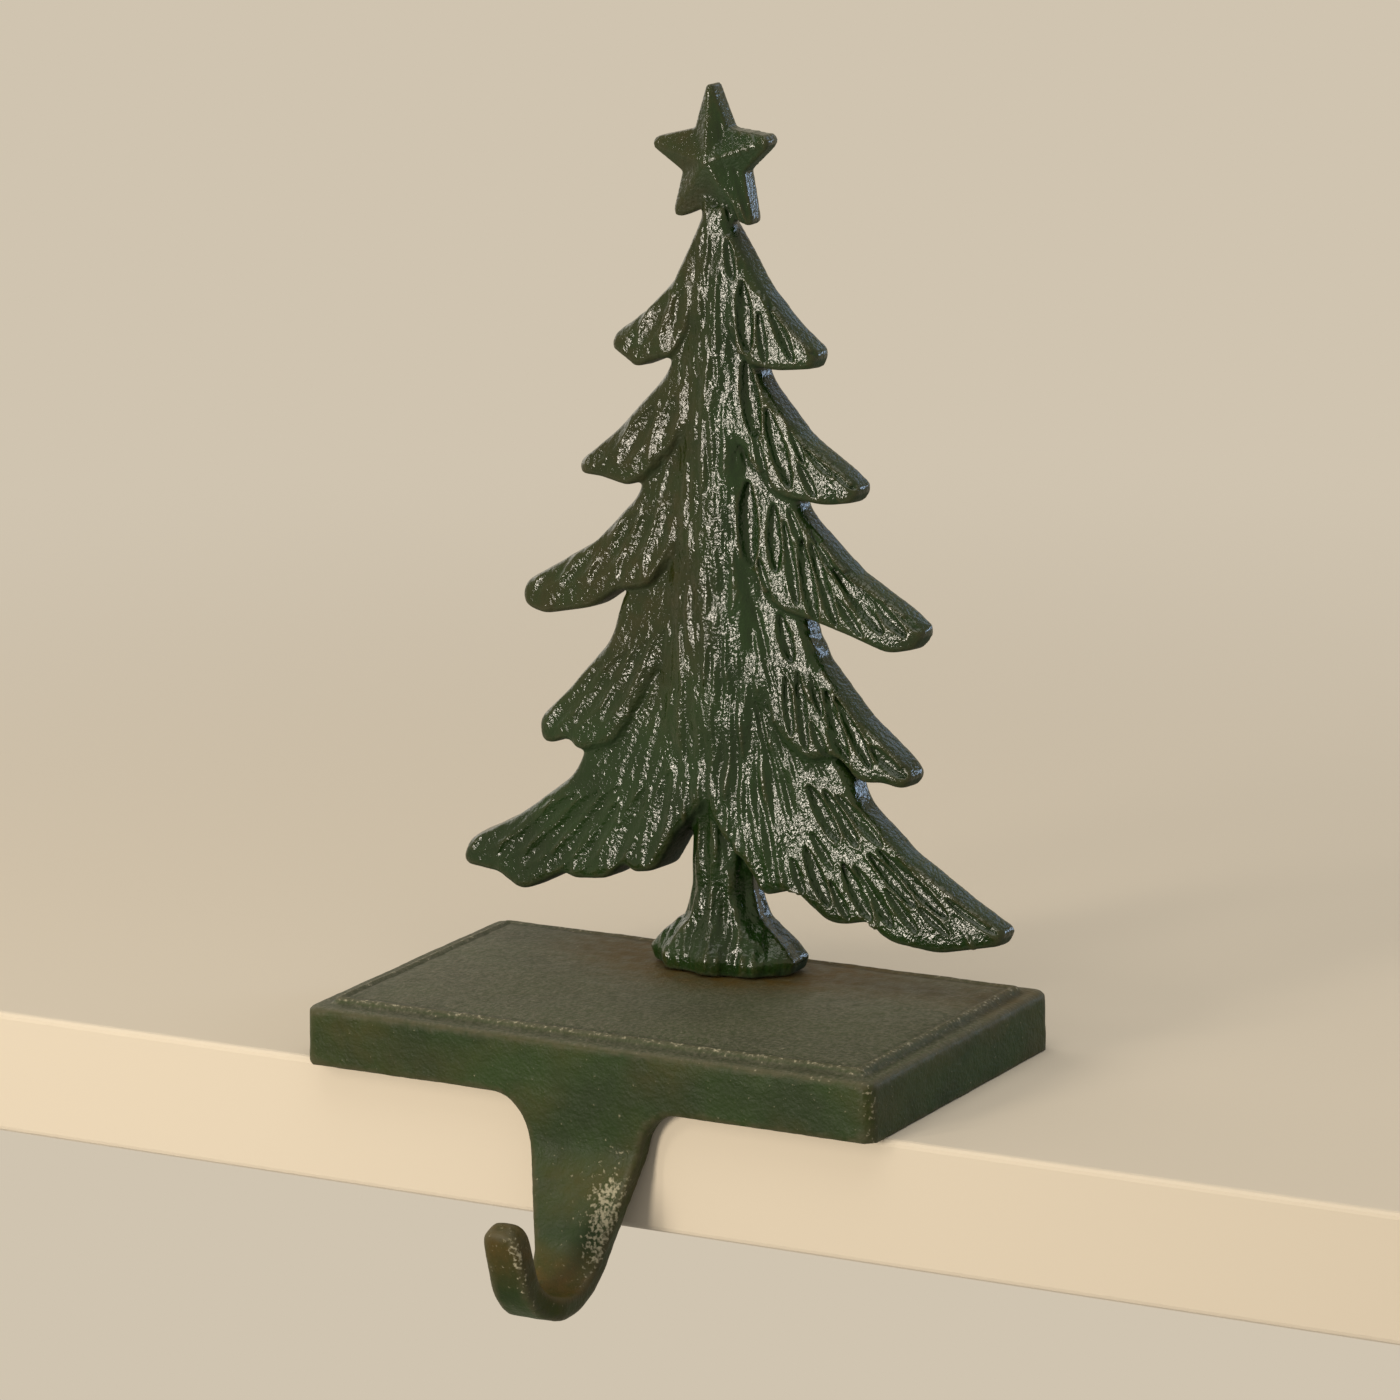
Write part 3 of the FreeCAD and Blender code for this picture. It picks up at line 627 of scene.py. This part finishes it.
def streaks(places, normals, leafy):
    """Outward move of each point for needles and bark, never on the flat underside."""
    x, y, z = places.T
    gap = np.stack([np.where((z > low - 1) & (z < top), np.abs(y - face_y(tier, x, z)), 9.0)
                    for tier, (top, low, _, _) in TIERS.items()])
    nearest = gap.argmin(axis=0)
    top = np.array([tier[0] for tier in TIERS.values()])[nearest]
    spread = x / (top + FAN_RISE - z) * FAN_DROP
    fan = grain(np.stack((spread, nearest * TIER_SHIFT, z), axis=1), STREAK_SIZE, seed=3.0)
    fan *= np.where(x < 0, STREAK_HEIGHT_LEFT, STREAK_HEIGHT_RIGHT * (1 - LEAFY_CALM * leafy))
    bark = np.where(z < TRUNK_TOP, TRUNK_BARK_HEIGHT, BARK_HEIGHT) * grain(places, BARK_SIZE, seed=11.0)
    bark += FINE_BARK_HEIGHT * grain(places, FINE_BARK_SIZE, seed=47.0)
    lumps = LUMP_HEIGHT * grain(places, LUMP_SIZE, seed=29.0)
    on_stem = stem_share(x, z)
    not_below = np.clip((normals[:, 2] + 0.9) / 0.2, 0, 1)
    facing = 0.45 + 0.55 * np.clip(-normals[:, 1], 0, 1)
    calm = 1 - STAR_CALM * np.clip((z - STAR_FOOT) / STAR_FADE, 0, 1)
    return (fan * (1 - on_stem) + bark * on_stem + lumps) * not_below * facing * calm


skin = streaks(tree_places, tree_normals, leafy)
tree_places = tree_places + tree_normals * (carved + skin)[:, None]
write_points(tree, tree_places, "tree")
print("streaks from", round(skin.min(), 2), "to", round(skin.max(), 2), "mm")

# %% [markdown]
# ## Uneven skin on the base
# The base was poured face down in sand too. Its faces are flat only to about a tenth of a millimetre, its
# edges waver a little, and a thin bead left by the pattern runs round the raised panel. The bead stays at
# the panel's own height while the panel sinks behind it, so the sinking depends only on the distance from
# the panel's rim.

# %% Base skin and bead
BASE_HALF_WIDTH = 60.0
BASE_FRONT = -4.8
BASE_BACK = 65.9
PANEL_INSET = 3.8
BEAD_INSET = 0.9
BEAD_HALF_WIDTH = 0.75
BEAD_SINK = 0.42
BEAD_FADE = 2.0
# Width and height of the slow waver and of the fine one, and how far the skin lies inside the solid
WAVER = (9.0, 0.09)
FINE_WAVER = (2.2, 0.07)
SKIN_INSIDE = 0.12


def rim_distance(x, y, inset):
    """Distance inwards from a rectangle that lies inside the base's outline by an inset."""
    middle = (BASE_FRONT + BASE_BACK) / 2
    half_depth = (BASE_BACK - BASE_FRONT) / 2 - inset
    return np.minimum(BASE_HALF_WIDTH - inset - np.abs(x), half_depth - np.abs(y - middle))


base_places, base_normals = read_points(base)
x, y, z = base_places.T
from_panel_rim = rim_distance(x, y, PANEL_INSET)
on_top = (base_normals[:, 2] > 0.6) & (z > 12.0)
behind_bead = np.clip((from_panel_rim - BEAD_INSET - BEAD_HALF_WIDTH) / 0.5, 0, 1)
rising_again = np.exp(-np.clip(from_panel_rim - 2.2, 0, None) / BEAD_FADE)
sunk_panel = np.where(on_top, BEAD_SINK * behind_bead * rising_again, 0)
waver = grain(base_places, (WAVER[0],) * 3, seed=5.0) * WAVER[1]
waver += grain(base_places, (FINE_WAVER[0],) * 3, seed=17.0) * FINE_WAVER[1]
base_places = base_places + base_normals * (waver - SKIN_INSIDE - sunk_panel)[:, None]
write_points(base, base_places, "hook_base")
print("base points:", len(base_places))

# %% [markdown]
# ## Which places are rubbed and which get painted shade
# The paint is rubbed thin where the casting stands proud, and its hollows are painted darker as painted
# shade. To know which is which, the places are averaged with their neighbours many times over. Where a
# point stands above that average it is proud, and where it lies below it is in a hollow. Both go into the
# mesh as attributes, so that the paint can follow them.

# %% Measure proud places, and hollows for painted shade
# Rounds of averaging, and the height in millimetres at which a mask is full
TREE_WEAR_AND_SHADE = (40, 0.5)
BASE_WEAR_AND_SHADE = (24, 0.45)


def store_mask(piece, name, values):
    """Keeps a value from 0 to 1 for each point, under a name that the paint can read."""
    layer = piece.data.attributes.new(name, "FLOAT", "POINT")
    layer.data.foreach_set("value", np.clip(values, 0, 1).astype(np.float32))


def store_wear_and_shade(piece, rounds, full_mm):
    """Masks for rubbing on proud places and for painted shade in hollows.

    Each is 1 where a point stands full_mm above or below its surroundings.
    """
    places, normals = read_points(piece)
    height = ((places - neighbour_average(piece, places, rounds)) * normals).sum(axis=1) / full_mm
    store_mask(piece, "proud", height)
    # Points below their surroundings lie in hollows, which get painted shade
    store_mask(piece, "hollow_shade", -height)
    return height


for piece, wear_and_shade in ((tree, TREE_WEAR_AND_SHADE), (base, BASE_WEAR_AND_SHADE)):
    height = store_wear_and_shade(piece, *wear_and_shade)
    print("proud share of", piece.name + ":", round(float((height > 0.3).mean()), 3))

# %% [markdown]
# ## Where dust, brown wax, bare rubbing and painted highlights lie
# Dust has settled on the base's flat top. Brown wax was left in soft patches round the tree's foot, towards
# the back edge, inside the hook and on the left-hand boughs. The hook's tip and the base's front right corner
# are rubbed through to pale primer by years of use. The pale patch low on the strap's right is partly such
# rubbing and partly a painted highlight, and the pale line along the panel's bead is a painted highlight.
# Each is one more mask, made from the points' places and some large soft noise.

# %% Masks of the base and the tree
FOOT_MIDDLE = (0.0, 51.7)
FOOT_RADIUS = 11.0
CLOUD_BASE = (13.0, 13.0, 9.0)
CLOUD_TREE = (9.0, 9.0, 12.0)
# Places in the front view or from above, and how far the rubbing and painted highlights reach round them
STRAP_RUB_AND_HIGHLIGHT, STRAP_RUB_AND_HIGHLIGHT_REACH = (6.8, -20.0), 4.0
CORNER_RUB, CORNER_RUB_REACH = (59.6, -4.4), 1.1
BEAD_HIGHLIGHT_REACH = 0.8


def bump_at(distance, reach):
    """1 at no distance, falling softly to 0 over a reach."""
    return np.exp(-(distance / reach) ** 2)


def mask_base(piece):
    places, normals = read_points(piece)
    x, y, z = places.T
    cloud = 0.5 + 0.5 * grain(places, CLOUD_BASE, seed=41.0)
    facing_up = np.clip((normals[:, 2] - 0.5) / 0.3, 0, 1) * (z > 9)
    from_foot = np.hypot((x - FOOT_MIDDLE[0]) / 1.5, y - FOOT_MIDDLE[1]) - FOOT_RADIUS
    near_foot = bump_at(np.clip(from_foot, 0, None), 8)
    at_back = np.clip((y - 38) / 16, 0, 1) * np.clip((x + 46) / 20, 0, 1)
    wax_top = facing_up * np.clip(0.9 * near_foot + 1.05 * at_back * cloud, 0, 1)
    in_bowl = np.clip((-z - 24) / 6, 0, 1) * np.clip((normals[:, 2] + 0.2) / 0.5, 0, 1) * (z < 0)
    hook_tip = np.clip((-y - 27) / 4, 0, 1) * np.clip((z + 27) / 7, 0, 1)
    wax_front = (1 - facing_up) * np.clip((cloud - 0.42) * 2.2, 0, 1) * 0.4
    store_mask(piece, "wax", np.clip(wax_top + wax_front + 0.8 * in_bowl + 0.75 * hook_tip, 0, 1))
    store_mask(piece, "dust", facing_up * (0.75 + 0.25 * cloud))
    # The pale patch low on the strap's right is partly rubbed paint and partly a painted highlight
    from_strap_rub_and_highlight = np.hypot(x - STRAP_RUB_AND_HIGHLIGHT[0], (z - STRAP_RUB_AND_HIGHLIGHT[1]) / 2.2)
    strap_low = 1.35 * bump_at(from_strap_rub_and_highlight, STRAP_RUB_AND_HIGHLIGHT_REACH) * (y < -3) * (normals[:, 1] < -0.3)
    from_corner = np.hypot(x - CORNER_RUB[0], y - CORNER_RUB[1])
    corner = 0.6 * bump_at(from_corner, CORNER_RUB_REACH)
    front_right = 0.22 * np.clip((x - 25) / 25, 0, 1) * (y < -3) * np.clip((z - 2) / 8, 0, 1)
    # The pale line along the panel's bead is a painted highlight
    bead_highlight = 0.6 * facing_up * bump_at(rim_distance(x, y, PANEL_INSET) - BEAD_INSET, BEAD_HIGHLIGHT_REACH)
    store_mask(piece, "dry", np.zeros(len(places)))
    store_mask(piece, "bare_and_glint", np.clip(strap_low + corner + front_right + bead_highlight + 0.18 * hook_tip, 0, 1))


def mask_tree(piece):
    places, normals = read_points(piece)
    x, y, z = places.T
    cloud = 0.5 + 0.5 * grain(places, CLOUD_TREE, seed=41.0)
    on_left, above_skirt = np.clip((4 - x) / 8, 0, 1), np.clip((z - 50) / 30, 0.1, 1)
    store_mask(piece, "wax", on_left * above_skirt * (0.45 + 0.7 * cloud))
    store_mask(piece, "dust", np.zeros(len(places)))
    store_mask(piece, "bare_and_glint", np.zeros(len(places)))
    store_mask(piece, "dry", np.clip((-normals[:, 2] - 0.12) / 0.3, 0, 1))


mask_base(base)
mask_tree(tree)
print("masks:", [a.name for a in base.data.attributes if a.data_type == "FLOAT"])

# %% [markdown]
# ## The paint
# Both castings are grey iron brushed with dark green enamel, then rubbed with brown wax and wiped. The tree
# was lacquered as well, so it is glossy, and the lacquer lies over sand grain, which breaks its highlights
# into fine wrinkles. The matt paint of the base reflects less than the lacquer. One function makes both
# paints, because they are the same coats in the same order and differ only in colour, gloss and grain.

# %% Green enamel over cast iron
PATCH_MM = 14.0
BLOTCH_MM = 3.0
# Real sand grain is about a quarter of a millimetre wide. It is drawn two to three times as wide, or it
# would vanish in the picture
TREE_GRAIN_MM = 0.5
BASE_GRAIN_MM = 0.75


def iron_paint(name, shades, gloss, sizes, relief, specular, specks_most):
    """Rubbed enamel on sand-cast iron.

    shades: hex colours of the green, its darker brushing, dust, wax, rubbed edges, the painted shade in
    the hollows and the pale specks, which are partly rubbed-through paint and partly painted glints.
    gloss: roughness at least and at most. sizes and relief: width and depth in millimetres of the sand
    grain and of the wrinkles. specks_most: how much of the paint a pale speck hides.
    """
    material, nodes, shader = new_material(name)
    green, deep, dust, wax, edge, hollow, bare_and_glint = (colour(code) for code in shades)
    where = add_node(nodes, "ShaderNodeTexCoord").outputs["Object"]
    mask = {key: add_node(nodes, "ShaderNodeAttribute", {"attribute_name": key}).outputs["Fac"]
            for key in ("proud", "hollow_shade", "wax", "dust", "bare_and_glint", "dry")}
    patches, blotch, fine, coarse = (
        add_node(nodes, "ShaderNodeTexNoise", {"Scale": 1 / (size * MM), "Detail": detail},
                 {"Vector": where}).outputs["Fac"]
        for size, detail in ((PATCH_MM, 5.0), (BLOTCH_MM, 4.0), (sizes[0], 3.0), (sizes[1], 2.0)))

    # The darker brushing comes in patches, dust sits on the grain, and wax is broken up by blotches
    brushed = add_node(nodes, "ShaderNodeMapRange", {"From Min": 0.40, "From Max": 0.62}, {"Value": patches})
    grainy = add_node(nodes, "ShaderNodeMapRange", {"From Min": 0.40, "From Max": 0.60, "To Min": 0.45},
                      {"Value": fine})
    broken = add_node(nodes, "ShaderNodeMapRange", {"From Min": 0.38, "From Max": 0.62, "To Min": 0.55},
                      {"Value": blotch})
    dusty = add_node(nodes, "ShaderNodeMath", {"operation": "MULTIPLY"},
                     {0: mask["dust"], 1: grainy.outputs["Result"]})
    waxed = add_node(nodes, "ShaderNodeMath", {"operation": "MULTIPLY"},
                     {0: mask["wax"], 1: broken.outputs["Result"]})
    # Proud places are rubbed, and the hollows are painted darker as painted shade
    rub = add_node(nodes, "ShaderNodeMath", {"operation": "MULTIPLY"}, {0: mask["proud"], 1: coarse})
    rubbed = add_node(nodes, "ShaderNodeMapRange", {"From Min": 0.10, "From Max": 0.45, "To Max": 0.7},
                      {"Value": rub.outputs[0]})
    painted_shade = add_node(nodes, "ShaderNodeMapRange", {"From Max": 0.8, "To Max": 0.75},
                    {"Value": mask["hollow_shade"]})
    # Pale specks, partly rubbed-through paint and partly painted glints, are everywhere, but few where the
    # mask is 0: the noise has to pass a level that it lowers
    level = add_node(nodes, "ShaderNodeMapRange", {"To Min": 0.69, "To Max": 0.42}, {"Value": mask["bare_and_glint"]})
    above = add_node(nodes, "ShaderNodeMath", {"operation": "SUBTRACT"},
                     {0: fine, 1: level.outputs["Result"]})
    specks = add_node(nodes, "ShaderNodeMapRange", {"From Max": 0.16, "To Max": specks_most},
                      {"Value": above.outputs[0]})

    # Each coat lies over the ones before it, and the painted shade and the specks go on last
    layer = add_node(nodes, "ShaderNodeMixRGB", {"Color1": green, "Color2": deep},
                     {"Fac": brushed.outputs["Result"]})
    for share, shade in ((dusty, dust), (waxed, wax), (rubbed, edge), (painted_shade, hollow), (specks, bare_and_glint)):
        layer = add_node(nodes, "ShaderNodeMixRGB", {"Color2": shade},
                         {"Fac": share.outputs[0], "Color1": layer.outputs["Color"]})

    roughness = add_node(nodes, "ShaderNodeMapRange",
                         {"From Min": 0.3, "From Max": 0.7, "To Min": gloss[0], "To Max": gloss[1]},
                         {"Value": blotch})
    dryness = add_node(nodes, "ShaderNodeMath", {"operation": "MULTIPLY", 1: 0.75}, {0: mask["dry"]})
    duller = add_node(nodes, "ShaderNodeMath", {"operation": "MAXIMUM"},
                      {0: roughness.outputs["Result"], 1: dryness.outputs[0]})
    sand = add_node(nodes, "ShaderNodeBump", {"Strength": 1.0, "Distance": relief[0] * MM}, {"Height": fine})
    wrinkles = add_node(nodes, "ShaderNodeBump", {"Strength": 1.0, "Distance": relief[1] * MM},
                        {"Height": coarse, "Normal": sand.outputs["Normal"]})
    shader.inputs["Specular IOR Level"].default_value = specular
    nodes.links.new(layer.outputs["Color"], shader.inputs["Base Color"])
    nodes.links.new(duller.outputs[0], shader.inputs["Roughness"])
    nodes.links.new(wrinkles.outputs["Normal"], shader.inputs["Normal"])
    return material


# The sixth shade is painted shade for the hollows, the last the pale specks, partly painted glints
TREE_SHADES = ("1a3010", "13260a", "4a4a34", "2b2a0c", "333419", "14240a", "8a8468")
BASE_SHADES = ("22340e", "1b2a0b", "5c5a49", "4c3c17", "4a4632", "161b07", "a39c82")
tree_enamel = iron_paint("lacquered_green_on_iron", TREE_SHADES, gloss=(0.10, 0.20),
                         sizes=(TREE_GRAIN_MM, 0.85), relief=(0.05, 0.20), specular=0.38, specks_most=0.2)
base_enamel = iron_paint("matt_green_on_iron", BASE_SHADES, gloss=(0.46, 0.60),
                         sizes=(BASE_GRAIN_MM, 1.8), relief=(0.16, 0.10), specular=0.18, specks_most=0.8)
print("paints:", tree_enamel.name, base_enamel.name)

# %% [markdown]
# ## Thin out the tree's mesh
# The fine squares were needed for the carving only. The decimate modifier now takes away points where the
# surface is nearly flat and keeps them at the leaves' rims. Masks and smooth shading stay with the points.

# %% Fewer triangles
TRIANGLES_KEPT = 180000


def thin_out(piece):
    deselect_all()
    piece.select_set(True)
    bpy.context.view_layer.objects.active = piece
    thinner = piece.modifiers.new("thinner", "DECIMATE")
    thinner.ratio = TRIANGLES_KEPT / (2 * len(piece.data.polygons))
    bpy.ops.object.modifier_apply(modifier=thinner.name)


thin_out(tree)
print("triangles of the tree:", sum(len(p.vertices) - 2 for p in tree.data.polygons))

# %% [markdown]
# ## Put the castings in their places
# Each casting takes its paint, rides on the object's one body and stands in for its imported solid, so the
# solid isn't shown and the finished piece is.

# %% Dress the castings
for piece, node_name, slot_name, paint in ((tree, "tree", "tree_paint", tree_enamel),
                                           (base, "hook_base", "base_paint", base_enamel)):
    piece.data.materials.clear()
    piece.data.materials.append(paint)
    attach(piece, "root")
    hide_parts(node_name)
print("dressed:", tree.name, base.name)

# %% [markdown]
# ## Zinc-plated screw and washer
# A bought screw and washer hold the tree from below. Bright zinc on steel is a metal with a grey, slightly
# cool colour and a satin gloss. Their solids need no other shape, so they keep it.

# %% Zinc
zinc, _, zinc_shader = new_material("bright_zinc_on_steel")
zinc_shader.inputs["Base Color"].default_value = colour("c9cbc8")
zinc_shader.inputs["Metallic"].default_value = 1.0
zinc_shader.inputs["Roughness"].default_value = 0.34
for node_name in ("tree_screw", "screw_washer"):
    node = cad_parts[node_name]
    node.data.materials.clear()
    node.data.materials.append(zinc)
print("zinc on the screw and washer")
